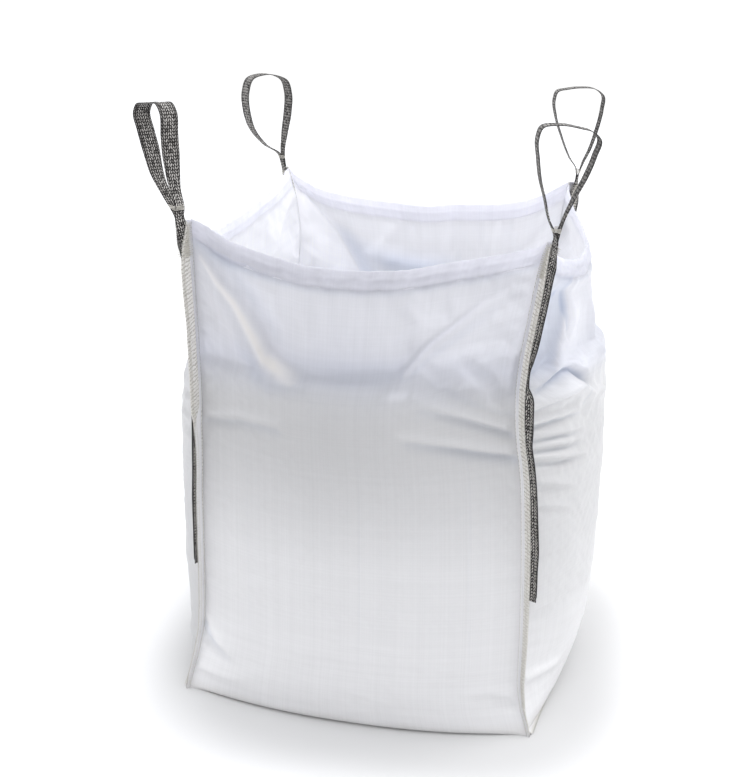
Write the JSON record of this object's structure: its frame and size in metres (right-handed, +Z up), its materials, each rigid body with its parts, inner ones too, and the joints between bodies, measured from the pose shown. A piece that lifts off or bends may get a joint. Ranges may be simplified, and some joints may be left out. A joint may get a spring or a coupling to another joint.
{
  "type": "bulk bag",
  "caption": "Open-top woven bulk bag standing in its filled shape, with fin seams at the corners, a sagging hemmed rim and webbing lift loops that swing and twist.",
  "frame": {"origin": "centre of the base on the floor", "axes": "+X to the right along the front face, -Y towards the front, +Z up"},
  "size_m": [1.1464, 1.0402, 1.5162],
  "materials": {
    "woven_fabric": "woven tape cloth, slightly glossy",
    "seam_felt": "matt needled felt",
    "webbing": "coarse twill webbing with light flecks",
    "thread": "twisted sewing thread",
    "tie_cord": "twisted cord"
  },
  "bodies": {
    "bag": {"u_panel": "woven_fabric", "side_panel_left": "woven_fabric", "side_panel_right": "woven_fabric", "seam_felt_left": "seam_felt", "seam_felt_right": "seam_felt", "seam_chain_stitch_left": "thread", "seam_chain_stitch_right": "thread", "seam_overlock_left": "thread", "seam_overlock_right": "thread", "hem_stitch_front": "thread", "hem_stitch_rear": "thread", "hem_stitch_left": "thread", "hem_stitch_right": "thread", "loop_leg_inner_front_left": "webbing", "loop_leg_outer_front_left": "webbing", "leg_stitching_front_left": "thread", "loop_bartack_front_left": "thread", "loop_leg_inner_front_right": "webbing", "loop_leg_outer_front_right": "webbing", "leg_stitching_front_right": "thread", "loop_bartack_front_right": "thread", "loop_leg_inner_rear_left": "webbing", "loop_leg_outer_rear_left": "webbing", "leg_stitching_rear_left": "thread", "loop_bartack_rear_left": "thread", "loop_leg_inner_rear_right": "webbing", "loop_leg_outer_rear_right": "webbing", "leg_stitching_rear_right": "thread", "loop_bartack_rear_right": "thread"},
    "neck_front_left": {"loop_neck_front_left": "webbing", "neck_tie_front_left": "tie_cord"},
    "loop_front_left": {"lift_loop_front_left": "webbing"},
    "neck_front_right": {"loop_neck_front_right": "webbing", "neck_tie_front_right": "tie_cord"},
    "loop_front_right": {"lift_loop_front_right": "webbing"},
    "neck_rear_left": {"loop_neck_rear_left": "webbing", "neck_tie_rear_left": "tie_cord"},
    "loop_rear_left": {"lift_loop_rear_left": "webbing"},
    "neck_rear_right": {"loop_neck_rear_right": "webbing", "neck_tie_rear_right": "tie_cord"},
    "loop_rear_right": {"lift_loop_rear_right": "webbing"}
  },
  "joints": [
    {"name": "loop_swing_front_left", "type": "hinge", "parent": "bag", "child": "neck_front_left", "pos_m": [-0.43499, -0.42863, 1.262], "axis": [-0.7071, -0.7071, 0], "range_deg": [-135, 105], "stiffness_Nm_per_rad": 0.1},
    {"name": "loop_twist_front_left", "type": "hinge", "parent": "neck_front_left", "child": "loop_front_left", "pos_m": [-0.43499, -0.42863, 1.262], "axis": [-0.1178, 0, 0.993], "range_deg": [-75, 75], "stiffness_Nm_per_rad": 0.1},
    {"name": "loop_swing_front_right", "type": "hinge", "parent": "bag", "child": "neck_front_right", "pos_m": [0.43499, -0.42863, 1.262], "axis": [0.7071, -0.7071, 0], "range_deg": [-135, 115], "stiffness_Nm_per_rad": 0.1},
    {"name": "loop_twist_front_right", "type": "hinge", "parent": "neck_front_right", "child": "loop_front_right", "pos_m": [0.43499, -0.42863, 1.262], "axis": [0.0395, 0.0237, 0.9989], "range_deg": [-42, 108], "stiffness_Nm_per_rad": 0.1},
    {"name": "loop_swing_rear_left", "type": "hinge", "parent": "bag", "child": "neck_rear_left", "pos_m": [-0.43499, 0.42863, 1.262], "axis": [-0.7071, 0.7071, 0], "range_deg": [-105, 135], "stiffness_Nm_per_rad": 0.1},
    {"name": "loop_twist_rear_left", "type": "hinge", "parent": "neck_rear_left", "child": "loop_rear_left", "pos_m": [-0.43499, 0.42863, 1.262], "axis": [-0.1178, 0, 0.993], "range_deg": [-70, 80], "stiffness_Nm_per_rad": 0.1},
    {"name": "loop_swing_rear_right", "type": "hinge", "parent": "bag", "child": "neck_rear_right", "pos_m": [0.43499, 0.42863, 1.262], "axis": [0.7071, 0.7071, 0], "range_deg": [-105, 115], "stiffness_Nm_per_rad": 0.1},
    {"name": "loop_twist_rear_right", "type": "hinge", "parent": "neck_rear_right", "child": "loop_rear_right", "pos_m": [0.43499, 0.42863, 1.262], "axis": [-0.0316, 0.0158, 0.9994], "range_deg": [-132, 18], "stiffness_Nm_per_rad": 0.1}
  ]
}
